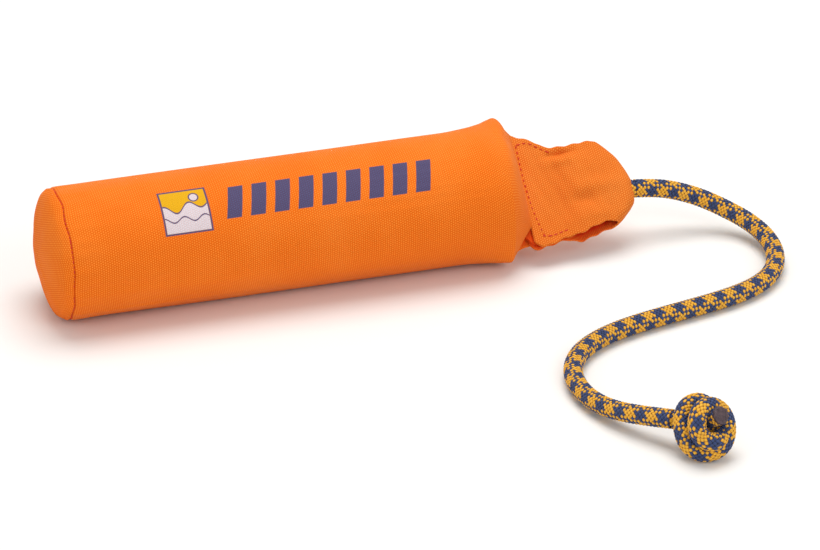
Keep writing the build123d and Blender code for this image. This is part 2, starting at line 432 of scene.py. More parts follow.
def makeBraidMaterial(look):
    material, start = newMaterial("braidedYarn")
    gold, tone, across, along = [start.attribute(name) for name in ("gold", "tone", "across", "along")]
    place = start.add("ShaderNodeTexCoord", output="Object")
    fuzz = place.noise(look["fuzzScale"], 3.0, 0.6)
    # filaments run along each strand and twist a little
    filament = ((across * 9.0 + along * 1.1 + fuzz * 2.2) * math.pi).cos() * 0.5 + 0.5
    # painted shade: each strand is darker towards its ends and sides, where it dives under the next one
    edge = (across * across * 0.55 + along * along * 0.5).clip()
    shades = []
    for base, paintedShade, light in (("gold", "goldShade", "goldLight"), ("navy", "navyShade", "navyLight")):
        lit = mixed(start, look[base], look[light], filament * 0.55 + tone * 0.35)
        shades.append(mixed(start, lit, look[paintedShade], edge * 0.75))
    dust = place.noise(look["dustScale"], 2.0)
    colour = mixed(start, shades[1], shades[0], gold)
    colour = mixed(start, colour, look["dust"], (dust - 0.55) * 0.35)
    height = filament * 0.5 + fuzz * 0.5
    finishMaterial(start, {
        "Base Color": colour, "Roughness": look["rough"] + fuzz * 0.2, "Specular IOR Level": look["shine"],
        "Sheen Weight": look["sheen"], "Sheen Roughness": look["sheenRough"],
    }, height, look["bump"])
    return material


ropeRoute = [
    (153.6, -5.9, 26.9), (165.0, -6.0, 25.8), (177.0, -6.6, 22.5), (188.9, -8.9, 18.0),
    (199.9, -15.0, 13.1), (209.0, -25.8, 9.5), (213.3, -40.6, 7.1), (211.7, -56.4, 5.7),
    (205.0, -70.8, 5.1), (194.0, -81.8, 5.0), (180.4, -88.8, 5.0), (166.0, -93.2, 5.0),
    (151.0, -96.6, 5.0), (136.0, -99.8, 5.0), (121.0, -103.4, 5.0), (106.4, -108.2, 5.0),
    (92.8, -115.4, 5.0), (81.8, -125.4, 5.0), (74.8, -138.4, 5.0), (72.2, -153.2, 5.0),
    (73.6, -168.8, 5.4), (78.6, -184.2, 7.4), (88.0, -199.0, 10.6), (99.0, -211.4, 13.6),
]

# the knot's own line: right, up and front are the axes of its round face
knotPlan = dict(
    centre=(109.9, -223.9, 14.3),
    right=(0.9545, -0.298, 0.0),
    up=(0.1385, 0.4435, 0.8853),
    front=(-0.264, -0.845, 0.4646),
    spread=(0.965, 0.935, 0.96),
    radius=4.45 * mm,         # pulled tight, the rope is thinner in the knot
    turns=[
        (-4.5, 2.6, -9.5), (2.0, 4.5, -9.5), (2.6, 9.6, -9.0), (-2.6, 12.8, -7.6), (-8.4, 10.6, -5.0),
        (-11.0, 4.5, -2.5), (-10.6, -2.6, -0.5), (-8.4, -8.6, 0.6), (-3.0, -12.6, 1.6), (3.6, -12.4, 1.8),
        (8.6, -8.8, 1.2), (10.6, -3.0, -0.4), (10.2, 3.6, -1.8), (7.2, 8.8, -1.4), (2.0, 11.0, 1.6),
        (-2.8, 8.6, 5.6), (-4.6, 3.0, 7.4), (-4.0, -2.6, 7.8), (-0.4, -6.6, 7.2), (4.6, -7.4, 5.6),
        (8.0, -5.0, 1.0), (8.2, -2.0, -3.4), (4.4, 0.2, -4.6), (2.0, 2.6, -2.4), (3.2, 4.6, 1.8),
        (6.9, 5.9, 6.6),
    ],
)


def knotLine(plan):
    axes = np.array([plan["right"], plan["up"], plan["front"]])
    turns = np.array(plan["turns"]) * plan["spread"]
    places = turns @ axes + np.array(plan["centre"])
    # the first point lies back inside the rope, so that no bare core shows between the two
    overlap = 0.75 * np.array(ropeRoute[-1]) + 0.25 * np.array(ropeRoute[-2])
    return [tuple(overlap), ropeRoute[-1]] + [tuple(p) for p in places]


braidTree = makeBraidTree()
braidYarn = makeBraidMaterial(braidColours)
braidValues = {
    "Rope radius": braidPlan["radius"], "Row length": braidPlan["row"], "Crown": braidPlan["crown"],
    "Dive": braidPlan["dive"], "Seed": braidPlan["seed"], "Material": braidYarn,
}

ropeLine = routeLine("ropeLine", ropeRoute)
ropeCentre = linePoints(ropeLine)
rope = runTree("braidedRope", ropeLine, braidTree, braidValues)
print("stage: rope", len(rope.data.polygons), "faces, line of", len(ropeCentre), "points")

knotCurve = routeLine("knotLine", knotLine(knotPlan))
knotValues = dict(braidValues, **{"Rope radius": knotPlan["radius"]})
knot = runTree("stopperKnot", knotCurve, braidTree, knotValues)
print("stage: knot", len(knot.data.polygons), "faces")

clothColours = dict(
    light=linear(253, 162, 72), mid=linear(239, 117, 22), shade=linear(222, 93, 12),
    pitch=(1.12, 0.61),       # millimetres from a raised yarn crossing to the next low one, each way
)

clothFinish = dict(
    waverScale=420.0, driftScale=38.0,            # how the yarns wander
    fibreScale=5200.0, patchScale=26.0,
    rough=0.72, shine=0.06, sheenRough=0.4, sheenTint=(1.0, 0.78, 0.5, 1.0),
    bump=0.00017,
)

printPlan = dict(
    axisZ=32.3, radius=33.0,
    badgeX=-83.3, badgeSide=24.0, badgeAngle=50.5, frameWidth=0.95,
    sunAt=(5.2, 6.6), sunRadius=2.3,
    barsX=-62.0, barPitch=12.0, barCount=9, barWidth=7.5, barHeight=17.0, barSlant=4.0, barsAngle=52.5,
    navy=linear(56, 64, 104), navyLight=linear(88, 96, 134),
    gold=linear(222, 172, 26), pale=linear(214, 208, 216),
    edge=0.28,                # how softly the ink ends, mm
)


def weaveHeight(across, along, pitch):
    # raised crossings stand in a quincunx and in rows round the tube, about -0.4 to 1
    across = across * (math.pi / pitch[0])
    crossings = across.cos() * (along * (math.pi / pitch[1])).cos()
    return crossings * 0.64 + (across * 2).cos() * 0.36


def printMasks(start, plan):
    # a badge of waves and a row of slanted bars, both laid out round the body in millimetres
    x, y, z = start.add("ShaderNodeTexCoord", output="Object").parts()
    angle = start.calc("ARCTAN2", z - plan["axisZ"] * mm, y * -1)
    x = x * 1000
    soft = plan["edge"]

    def raised(degrees):
        return (angle - math.radians(degrees)) * plan["radius"]

    s = raised(plan["badgeAngle"])
    r = x - plan["badgeX"]
    half = plan["badgeSide"] / 2
    reach = start.calc("MAXIMUM", abs(r), abs(s))
    badge = reach.inside(half, soft)
    window = reach.inside(half - plan["frameWidth"], soft)
    crest = (r * 0.52 + 0.6).sin() * 2.0 + (r * 0.23).sin() * 1.0 + 1.6
    swell = (r * 0.62 + 2.4).sin() * 1.3 - 4.6
    water = (s - crest).inside(0.0, soft)
    crestLine, swellLine = abs(s - crest).inside(0.42, soft), abs(s - swell).inside(0.36, soft)
    lines = start.calc("MAXIMUM", crestLine, swellLine)
    sunR, sunS = r - plan["sunAt"][0], s - plan["sunAt"][1]
    sun = start.calc("SQRT", sunR * sunR + sunS * sunS)
    water = start.calc("MAXIMUM", water, sun.inside(plan["sunRadius"], soft))
    lines = start.calc("MAXIMUM", lines, abs(sun - plan["sunRadius"]).inside(0.34, soft))
    s = raised(plan["barsAngle"])
    r = x - plan["barsX"] - s * (plan["barSlant"] / plan["barHeight"])
    cell = r.wrap(plan["barPitch"])
    bars = abs(cell - plan["barWidth"] / 2).inside(plan["barWidth"] / 2, soft)
    bars = bars * abs(s).inside(plan["barHeight"] / 2, soft)
    run = plan["barPitch"] * plan["barCount"]
    bars = bars * abs(r - (run / 2 - 1)).inside(run / 2, soft)
    front = start.calc("GREATER_THAN", z, 30 * mm)    # the same angles far below stay plain
    return badge * front, window, water * window, lines * window, bars * front


def makeCloth(name, look, turn=0.0, printed=None, paintedShade=None, sheen=0.03):
    # woven cloth, turned on its piece, with a print or a painted shade in its folds where it has one
    finish = clothFinish
    material, start = newMaterial(name)
    place = start.add("ShaderNodeTexCoord", output="Object")
    spot = start.add("ShaderNodeUVMap", {"uv_map": "clothUv"})
    spot = start.add("ShaderNodeMapping", {}, {"Vector": spot, "Rotation": (0.0, 0.0, turn)})
    across, along = spot.parts()[:2]
    waver = place.noise(finish["waverScale"], 2.0)
    drift = place.noise(finish["driftScale"], 2.0)
    across = across + (waver - 0.5) * 0.3
    along = along + (drift - 0.5) * 0.4
    weave = weaveHeight(across, along, look["pitch"])
    fibre = place.noise(finish["fibreScale"], 3.0, 0.65)
    # painted highlight and shade on the weave: raised yarn crossings are lighter and the low yarns between
    # them darker
    raisedYarn = (weave * 0.62 + 0.38 + (fibre - 0.5) * 0.3).clip()
    colour = mixed(start, look["shade"], look["mid"], raisedYarn * 2.4)
    colour = mixed(start, colour, look["light"], (raisedYarn - 0.5) * 1.7)
    # the dye takes a little unevenly, and handled cloth is paler here and there
    patch = place.noise(finish["patchScale"], 3.0)
    colour = mixed(start, colour, look["shade"], (patch - 0.48) * 0.9)
    colour = mixed(start, colour, look["light"], (0.5 - patch) * 0.5)
    height = raisedYarn * 0.8 + fibre * 0.25
    rough = finish["rough"] + (fibre - 0.5) * 0.15 + (patch - 0.5) * 0.12
    if paintedShade is not None:
        # folded-in cloth lies in its own shade
        colour = mixed(start, colour, paintedShade, start.attribute("foldShade"))
    if printed is not None:
        badge, window, water, lines, bars = printMasks(start, printed)
        # the ink too is painted lighter on the raised crossings, the weave's painted highlight
        inkTone = raisedYarn * 0.75 + (fibre - 0.5) * 0.3
        navy = mixed(start, printed["navy"], printed["navyLight"], inkTone)
        emblem = mixed(start, navy, printed["gold"], window)
        emblem = mixed(start, emblem, printed["pale"], water)
        emblem = mixed(start, emblem, navy, lines)
        emblem = mixed(start, emblem, colour, (0.22 - raisedYarn * 0.4))
        colour = mixed(start, colour, emblem, badge)
        colour = mixed(start, colour, navy, bars * (0.93 + raisedYarn * 0.07))
        rough = rough - (badge + bars) * 0.08
    finishMaterial(start, {
        "Base Color": colour, "Roughness": rough, "Specular IOR Level": finish["shine"],
        "Sheen Weight": sheen, "Sheen Roughness": finish["sheenRough"], "Sheen Tint": finish["sheenTint"],
    }, height, finish["bump"])
    return material


def makePlain(name, base, light, scale, roughness, depth, specular=0.4, stretch=(1, 1, 1)):
    # one colour with a fine uneven surface
    material, start = newMaterial(name)
    place = start.add("ShaderNodeTexCoord", output="Object")
    place = start.add("ShaderNodeMapping", {}, {"Vector": place, "Scale": stretch})
    fine = place.noise(scale, 4.0, 0.6)
    broad = place.noise(scale * 0.15, 2.0)
    colour = mixed(start, base, light, (fine - 0.3) * 1.4)
    colour = mixed(start, colour, base, broad * 0.6)
    finishMaterial(start, {
        "Base Color": colour, "Roughness": roughness + (fine - 0.5) * 0.2,
        "Specular IOR Level": specular,
    }, fine, depth)
    return material


# painted shade: the deep red towards which folded-in cloth, the tongue and the inside of the tab are darkened
# where they lie in shade
paintedSlotShade = linear(228, 40, 14)
tabColours = dict(
    light=linear(248, 168, 88), mid=linear(230, 119, 35), shade=linear(210, 94, 25),
    pitch=clothColours["pitch"],
)
# painted light and shade on the tab's inner faces: a redder copy of the cloth colours stands in for light
# bounced between the orange layers, and deeper in they are darkened towards the painted shade red
insideBouncedLightColours = dict(
    light=linear(255, 150, 66), mid=linear(252, 106, 34), shade=linear(216, 60, 12),
    pitch=clothColours["pitch"],
)
coverCloth = makeCloth("printedCover", clothColours, printed=printPlan, paintedShade=paintedSlotShade, sheen=0.12)
capCloth = makeCloth("capCover", clothColours, turn=math.radians(38), sheen=0.0)
tabCloth = makeCloth("tabCover", tabColours, sheen=0.05)
tongueCloth = makeCloth("tongueCover", clothColours, paintedShade=paintedSlotShade)
tabInside = makeCloth("tabInside", insideBouncedLightColours, paintedShade=paintedSlotShade)
threadYarn = makePlain("redThread", linear(196, 40, 12), linear(228, 78, 30), 5200.0, 0.6, 0.00005)
foamSkin = makePlain("foamSkin", linear(52, 54, 58), linear(80, 82, 86), 900.0, 0.75, 0.0002, 0.2)
meltedEnd = makePlain(
    "meltedEnd", linear(44, 30, 42), linear(138, 112, 116), 760.0, 0.42, 0.0008, 0.5, (1, 1, 0.6))
print("stage: materials made")

coverPlan = dict(
    axisZ=32.3, seamX=-142.0, shoulderX=60.0, tubeRadius=32.9, shoulderRadius=33.4, lean=43.0,
    # the rolled edge at the cap seam: distance past the seam, radius
    lip=[(-0.1, 24.0), (-0.15, 29.0), (-0.1, 31.1), (0.15, 31.9), (0.75, 32.55), (1.7, 33.0), (3.0, 33.2),
         (4.8, 33.22), (7.0, 33.12), (10.0, 33.0), (14.0, 32.92)],
    # rings of the tube, its taper and its fold: first, last, how many
    rings=[(-125.7, 60.0, 82), (61.4, 80.6, 15), (81.3, 96.1, 26)],
    # how the tube is folded flat towards the tab: x, then distance across the lean of the closed end
    frontHigh=[(60, 33.0), (72, 34.4), (80, 36.4), (85.8, 38.6), (88.8, 39.3), (90.4, 38.4), (91.6, 36.2),
               (93.0, 32.8), (94.6, 29.9), (96.1, 27.4)],
    backHigh=[(60, 33.0), (72, 34.4), (80, 36.4), (85.8, 38.6), (88.9, 39.4), (90.6, 38.4), (91.8, 36.2),
              (93.2, 32.8), (94.7, 29.9), (96.1, 27.4)],
    notchHigh=[(60, 33.4), (80, 36.8), (86.5, 38.9), (90.0, 36.0), (93.0, 27.0), (96.1, 18.0)],
    frontLow=[(60, -33.0), (72, -34.4), (78, -36.2), (81.8, -37.4), (84.5, -34.4), (91.5, -25.8),
              (96.1, -20.8)],
    backLow=[(60, -33.0), (72, -34.4), (78, -36.2), (81.8, -37.2), (84.4, -33.7), (88.2, -31.0), (91, -30.2),
             (96.1, -29.6)],
    notchLow=[(60, -33.4), (78, -36.6), (81.8, -37.6), (84.5, -31.0), (91.5, -18.0), (96.1, -13.0)],
    # half the gap between the two sides at the upper and the lower fold, and half the thickness between
    gapHigh=[(60, 5.22), (76, 4.2), (86, 1.4), (90, 1.6), (93, 2.6), (96.1, 3.3)],
    gapLow=[(60, 5.22), (74, 4.0), (81.8, 1.0), (88, 3.0), (96.1, 3.3)],
    depth=[(60, 33.4), (68, 32.7), (76, 31.0), (82, 28.8), (85.5, 26.4), (88.5, 22.4), (91, 17.4),
           (93.5, 10.4), (95.2, 5.0), (96.1, 3.5)],
    frontColumns=74, foldColumns=12, foldAngle=9.0,
    # heights of the cloth's small shapes
    pucker=0.30, sag=0.16, swing=0.10, pinch=0.75, lap=0.55, tuck=1.9, crease=0.5, seamWander=0.45,
    slotShade=0.95,
    seed=5,
)


def smooth(value, low, high):
    t = np.clip((np.asarray(value, float) - low) / (high - low), 0, 1)
    return t * t * (3 - 2 * t)


def table(rows, x):
    # smooth curve through rows of (place, value), which never swings past them
    places, values = np.array(rows, float).T
    steep = np.diff(values) / np.diff(places)
    before, after = steep[:-1], steep[1:]
    turning = before * after <= 0
    inner = np.where(turning, 0, 2 * before * after / np.where(turning, 1, before + after))
    slopes = np.concatenate([steep[:1], inner, steep[-1:]])
    x = np.clip(x, places[0], places[-1])
    i = np.clip(np.searchsorted(places, x) - 1, 0, len(places) - 2)
    width = places[i + 1] - places[i]
    t = (x - places[i]) / width
    t2, t3 = t * t, t * t * t
    return ((2 * t3 - 3 * t2 + 1) * values[i] + (t3 - 2 * t2 + t) * width * slopes[i]
            + (3 * t2 - 2 * t3) * values[i + 1] + (t3 - t2) * width * slopes[i + 1])


def leaned(u, v, w, plan=coverPlan):
    # from the tab's flat frame to the model's
    turn = math.radians(plan["lean"])
    y = v * math.cos(turn) - w * math.sin(turn)
    z = plan["axisZ"] + v * math.sin(turn) + w * math.cos(turn)
    return np.stack(np.broadcast_arrays(u, y, z), axis=-1)


def ripple(angle, waves, seed):
    # uneven but repeatable waves round the body, about -1 to 1
    dice = np.random.default_rng(seed)
    total = 0
    for count in waves:
        total = total + np.sin(count * angle + dice.uniform(0, 6.28)) * dice.uniform(0.6, 1.0)
    return total / math.sqrt(len(waves))


def seamWander(angle):
    # the cap seam isn't quite straight, and both sides of it follow
    return coverPlan["seamWander"] * ripple(angle, (5, 8, 11), coverPlan["seed"] + 2)


def settle(points, soft=0.9):
    # cloth lies flat where it meets the surface it rests on
    z = points[..., 2]
    points[..., 2] = 0.5 * (z + np.sqrt(z * z + soft * soft))
    return points


def coverStations(plan):
    lip = [plan["seamX"] + past for past, radius in plan["lip"]]
    return np.concatenate([lip] + [np.linspace(*span) for span in plan["rings"]])


def coverAngles(plan):
    # half of what a folded side takes, then the columns of the front and of a folded side
    fold = math.radians(plan["foldAngle"])
    front = np.linspace(fold, math.pi - fold, plan["frontColumns"])
    side = np.linspace(-1, 1, plan["foldColumns"] + 1)[1:-1]
    return fold, front, side


def roundRing(plan, radius):
    fold, front, side = coverAngles(plan)
    angles = np.concatenate([front, math.pi + side * fold, front + math.pi, side * fold])
    return np.stack([radius * np.cos(angles), radius * np.sin(angles)], axis=1)


def foldedRing(plan, x):
    # the tube where it narrows to its flat end: front, lower fold, back, upper fold
    fold, front, side = coverAngles(plan)
    depth = table(plan["depth"], x)
    gapHigh, gapLow = table(plan["gapHigh"], x), table(plan["gapLow"], x)
    sharp = 1 + 0.35 * smooth(x, 70, 82)
    share = (np.sin(front) ** sharp - math.sin(fold) ** sharp) / (1 - math.sin(fold) ** sharp)
    along = np.cos(front) / math.cos(fold)
    sheets = []
    for sign, high, low in ((1, "frontHigh", "frontLow"), (-1, "backHigh", "backLow")):
        top, bottom = table(plan[high], x), table(plan[low], x)
        v = (top + bottom) / 2 + (top - bottom) / 2 * along
        gap = gapHigh * (1 + along) / 2 + gapLow * (1 - along) / 2
        sheets.append(np.stack([v, sign * (gap + (depth - gap) * share)], axis=1))
    sheets[1] = sheets[1][::-1]
    joints = ((sheets[0][-1], sheets[1][0], "notchLow"), (sheets[1][-1], sheets[0][0], "notchHigh"))
    turnIn = smooth(x, 84.0, 88.0)
    t = (side[:, None] + 1) / 2
    ends = []
    for first, last, notch in joints:
        inner = np.array([table(plan[notch], x), 0.0])
        halves = first + (inner - first) * 2 * t, inner + (last - inner) * (2 * t - 1)
        straight = np.where(t < 0.5, *halves)
        bend = inner * 1.5 - (first + last) / 2 * 0.5
        curved = (1 - t) ** 2 * first + 2 * t * (1 - t) * bend + t * t * last
        ends.append(curved * (1 - turnIn) + straight * turnIn)
    return np.concatenate([sheets[0], ends[0], sheets[1], ends[1]])


def coverSwell(plan, x, v, w):
    # how far the small shapes of the cloth stand out from the smooth tube
    angle = np.arctan2(w, v)
    past = np.clip(x - plan["seamX"], 0, None)
    nearSeam = np.exp(-past / 5.5) * (x > plan["seamX"] + 0.3)
    swell = plan["pucker"] * nearSeam * ripple(angle, (9, 13, 17, 22, 29), plan["seed"])
    sag = ripple(angle * 3 + x * 0.03, (1, 2), plan["seed"] + 1) * smooth(x, -140, -110)
    swing = np.sin(x * 0.045 + 2 * np.sin(angle)) * smooth(x, -140, -100)
    swell = swell + plan["sag"] * sag + plan["swing"] * swing
    # a short pinch that starts at the cap seam on the printed side
    line = np.exp(-((angle - (2.62 - (x + 142) * 0.012)) / 0.035) ** 2)
    swell = swell - plan["pinch"] * line * smooth(x, -141.6, -139) * (1 - smooth(x, -136, -127))
    # lengthwise seam on the far side, one edge lapped over the other
    degrees = np.degrees(angle)
    lap = smooth(degrees, -79.5, -78.6) * (1 - smooth(degrees, -74, -71)) * (x < 74)
    swell = swell + plan["lap"] * lap * smooth(x, -141, -138)
    # a tuck and a crease beside the tab's top corner
    tuck = np.exp(-((x - 89.5) / 2.6) ** 2 - ((v - 22.5) / 4.2) ** 2) * (w > 0)
    swell = swell - plan["tuck"] * tuck
    crease = np.exp(-((v - 14 + (x - 80) * 0.5) / 2.0) ** 2) * smooth(x, 80, 90) * (w > 0)
    return swell - plan["crease"] * crease


def coverSurface(plan):
    xs = coverStations(plan)
    slope = (plan["shoulderRadius"] - plan["tubeRadius"]) / (plan["shoulderX"] - plan["seamX"])
    rings = []
    for index, x in enumerate(xs):
        if index < len(plan["lip"]):
            rings.append(roundRing(plan, plan["lip"][index][1]))
        elif x < plan["shoulderX"]:
            rings.append(roundRing(plan, plan["tubeRadius"] + slope * (x - plan["seamX"])))
        else:
            rings.append(foldedRing(plan, x))
    rings = np.array(rings)
    v, w = rings[..., 0], rings[..., 1]
    x = np.repeat(xs[:, None], rings.shape[1], axis=1)
    scale = 1 + coverSwell(plan, x, v, w) / np.maximum(np.hypot(v, w), 3.0)
    fade = np.exp(-np.clip(x - plan["seamX"], 0, None) / 9)
    x = x + fade * seamWander(np.arctan2(w, v))
    return settle(leaned(x, v * scale, w * scale)), xs


def coverUv(plan, xs):
    # the cloth's own place: along the tube, and round it in whole repeats of the weave
    shoulder, depth = plan["shoulderX"], plan["depth"]
    radii = [table(depth, x) if x > shoulder else plan["shoulderRadius"] for x in xs]
    run = np.concatenate([[0], np.cumsum(np.hypot(np.diff(xs), np.diff(radii)))])
    repeat = 2 * clothColours["pitch"][1]
    girth = repeat * round(2 * math.pi * plan["shoulderRadius"] / repeat)
    fold, front, side = coverAngles(plan)
    side = side * fold
    last = [2 * math.pi + fold]
    angles = np.concatenate([front, math.pi + side, front + math.pi, 2 * math.pi + side, last])
    return run, (angles - fold) / (2 * math.pi) * girth


def gridFaces(rows, columns, closed, flip=False):
    # quads of a grid of points whose columns may close into rings, with corner indices for its uv
    faces, corners = [], []
    for i in range(rows - 1):
        for j in range(columns if closed else columns - 1):
            k = (j + 1) % columns
            faces.append((i * columns + j, (i + 1) * columns + j, (i + 1) * columns + k, i * columns + k))
            corners.append(((i, j), (i + 1, j), (i + 1, j + 1), (i, j + 1)))
    if flip:
        faces = [face[::-1] for face in faces]
        corners = [quad[::-1] for quad in corners]
    return faces, corners


def closeEnd(points, faces, uv, ring, flip, flat=None):
    # fan from a ring of point numbers to a new middle point; flat is the ring's own uv, round (0, 0)
    middle = np.mean([points[i] for i in ring], axis=0)
    points.append(middle)
    last = len(points) - 1
    for j, a in enumerate(ring):
        b = ring[(j + 1) % len(ring)]
        faces.append((b, a, last) if flip else (a, b, last))
        first, second = (flat[j], flat[(j + 1) % len(ring)]) if flat else ((0, 0), (0, 0))
        uv.extend([second, first, (0, 0)] if flip else [first, second, (0, 0)])


def closeBoth(points, faces, uv, columns, flipFirst, flat=None):
    # closes the first and the last ring of a closed grid
    rows = len(points) // columns
    closeEnd(points, faces, uv, list(range(columns)), flipFirst)
    closeEnd(points, faces, uv, list(range((rows - 1) * columns, rows * columns)), not flipFirst, flat)


# the cloth simulation of the body cover
swellPlan = dict(
    pressure=1.0, taut=0.0015, gathered=-0.022,   # how much the cloth shrinks, or is oversized where gathered
    frames=12, quality=6, mass=0.2, stretch=25, shear=12, bend=1.2,
    reach=0.7 * mm,           # no point moves further than this
    clear=0.2 * mm,           # and none is pressed down past this height
    seamFade=2.0,
)


def swellCloth(piece, plan, held, gathered):
    # air from inside pushes the cloth out between its seams, and spare cloth near them puckers
    scene = bpy.context.scene
    before = np.array([v.co for v in piece.data.vertices])
    for name, weights in (("held", held), ("gathered", gathered)):
        group = piece.vertex_groups.new(name=name)
        for index in np.flatnonzero(weights > 0.001):
            group.add([int(index)], float(weights[index]), "REPLACE")
    modifier = piece.modifiers.new("cloth", "CLOTH")
    cloth = modifier.settings
    cloth.quality = plan["quality"]
    cloth.mass = plan["mass"]
    cloth.tension_stiffness = cloth.compression_stiffness = plan["stretch"]
    cloth.shear_stiffness = plan["shear"]
    cloth.bending_stiffness = plan["bend"]
    cloth.vertex_group_mass = "held"
    cloth.use_pressure = True
    cloth.uniform_pressure_force = plan["pressure"]
    cloth.vertex_group_shrink = "gathered"
    cloth.shrink_min = plan["taut"]
    cloth.shrink_max = plan["gathered"]
    cloth.effector_weights.gravity = 0
    modifier.collision_settings.use_collision = False
    modifier.point_cache.frame_start = 1
    modifier.point_cache.frame_end = plan["frames"]
    for step in range(1, plan["frames"] + 1):
        scene.frame_set(step)
    mesh = evaluatedMesh(piece, "swollen")
    move = np.array([v.co for v in mesh.vertices]) - before
    bpy.data.meshes.remove(mesh)
    piece.modifiers.clear()
    piece.vertex_groups.clear()
    scene.frame_set(1)
    far = np.maximum(np.linalg.norm(move, axis=1), 1e-9)
    move *= (plan["reach"] * np.tanh(far / plan["reach"]) / far)[:, None]
    after = before + move
    after[:, 2] = np.maximum(after[:, 2], np.minimum(before[:, 2], plan["clear"]))
    piece.data.vertices.foreach_set("co", after.astype(np.float32).ravel())
    piece.data.update()
    print("stage: cloth of", piece.name, "pushed up to", round(far.max() / mm, 2), "mm before the limit")


def makeCover(plan):
    surface, xs = coverSurface(plan)
    rows, columns = surface.shape[:2]
    run, girth = coverUv(plan, xs)
    points = [tuple(p) for p in surface.reshape(-1, 3) * mm]
    faces, corners = gridFaces(rows, columns, True, True)
    uv = [(run[i], girth[j]) for quad in corners for i, j in quad]
    closeBoth(points, faces, uv, columns, True)
    cover = addPiece("bodyCover", points, faces, uv, coverCloth)
    # painted shade: the folded sides of the closed end are darkened towards the deep red
    shade = np.zeros(len(points))
    front, fold = plan["frontColumns"], plan["foldColumns"] - 1
    deep = 1 - abs(np.linspace(-1, 1, fold))
    amounts = smooth(xs, 83, 87) * plan["slotShade"]
    for begin in (front, 2 * front + fold):
        for i, amount in enumerate(amounts):
            at = i * columns + begin
            shade[at:at + fold] = amount * np.minimum(1.0, 0.45 + deep)
    shadeFolds(cover, shade)
    return cover


def heldCover(cover, plan):
    # 1 at the cap seam, the folded end and where it lies on the floor
    x, z = np.array([v.co for v in cover.data.vertices]).T[[0, 2]] / mm
    seamEnd = plan["seamX"] + 1.0
    seam = 1 - smooth(x, seamEnd, seamEnd + swellPlan["seamFade"])
    held = np.maximum.reduce([seam, smooth(x, 62, 78), 1 - smooth(z, 0.4, 1.6)])
    return held, 1 - smooth(x, plan["seamX"] + 5, plan["seamX"] + 17)


cover = makeCover(coverPlan)
swellCloth(cover, swellPlan, *heldCover(cover, coverPlan))
cover = subdivided(cover)
print("stage: body cover", len(cover.data.polygons), "faces")

capPlan = dict(
    seamX=-142.0, radius=32.7, domeStart=31.0, rise=10.8, rings=27, columns=168,
    # the rolled rim beside the seam: distance before the seam, radius
    rim=[(-0.5, 22.0), (-0.45, 29.5), (-0.25, 31.0), (0.1, 31.9), (0.6, 32.4), (1.2, 32.45), (1.8, 32.1),
         (2.4, 31.65), (3.2, 31.2)],
    puff=0.22, uneven=0.25, sway=0.3, reach=6.0,
)


def capRows(plan):
    # x and radius of each ring, from the rim to the middle of the dome
    rows = [(plan["seamX"] - before, radius) for before, radius in plan["rim"]]
    first = math.acos(plan["domeStart"] / plan["radius"])
    for step in range(1, plan["rings"]):
        a = first + (math.pi / 2 - first) * step / plan["rings"]
        rise = plan["rise"] * math.sin(a) + 0.15 * math.sin(3 * a)
        rows.append((plan["seamX"] - rise, plan["radius"] * math.cos(a)))
    return rows


def makeCap(plan):
    rows = capRows(plan)
    columns = plan["columns"]
    angles = np.linspace(0, 2 * math.pi, columns, endpoint=False)
    rings = []
    for x, radius in rows:
        near = math.exp(-abs(x - plan["seamX"]) / plan["reach"])
        sway = plan["sway"] * ripple(angles, (3, 4), 23) * math.sin(math.pi * radius / 33)
        puff = plan["puff"] * near * ripple(angles, (9, 14, 21), 21)
        puff = puff + plan["uneven"] * (radius / 33) * ripple(angles, (2, 3), 22)
        r = radius + puff * min(1.0, radius / 20) * 0.6
        rings.append(leaned(x + near * seamWander(angles) - sway, r * np.cos(angles), r * np.sin(angles)))
    surface = settle(np.array(rings))
    points = [tuple(p) for p in surface.reshape(-1, 3) * mm]
    faces, corners = gridFaces(len(rows), columns, True)
    # the cloth's own flat place: as far from the middle as along the dome
    steps = np.hypot(*np.diff(np.array(rows)[::-1], axis=0).T)
    out = rows[-1][1] + np.concatenate([[0], np.cumsum(steps)])[::-1]
    spots = [(math.cos(a), math.sin(a)) for a in angles]
    flat = [[(far * right, far * up) for right, up in spots] for far in out]
    uv = [flat[i][j % columns] for quad in corners for i, j in quad]
    closeBoth(points, faces, uv, columns, False, flat[-1])
    return addPiece("endCap", points, faces, uv, capCloth)


cap = makeCap(capPlan)
print("stage: end cap", len(cap.data.polygons), "faces")

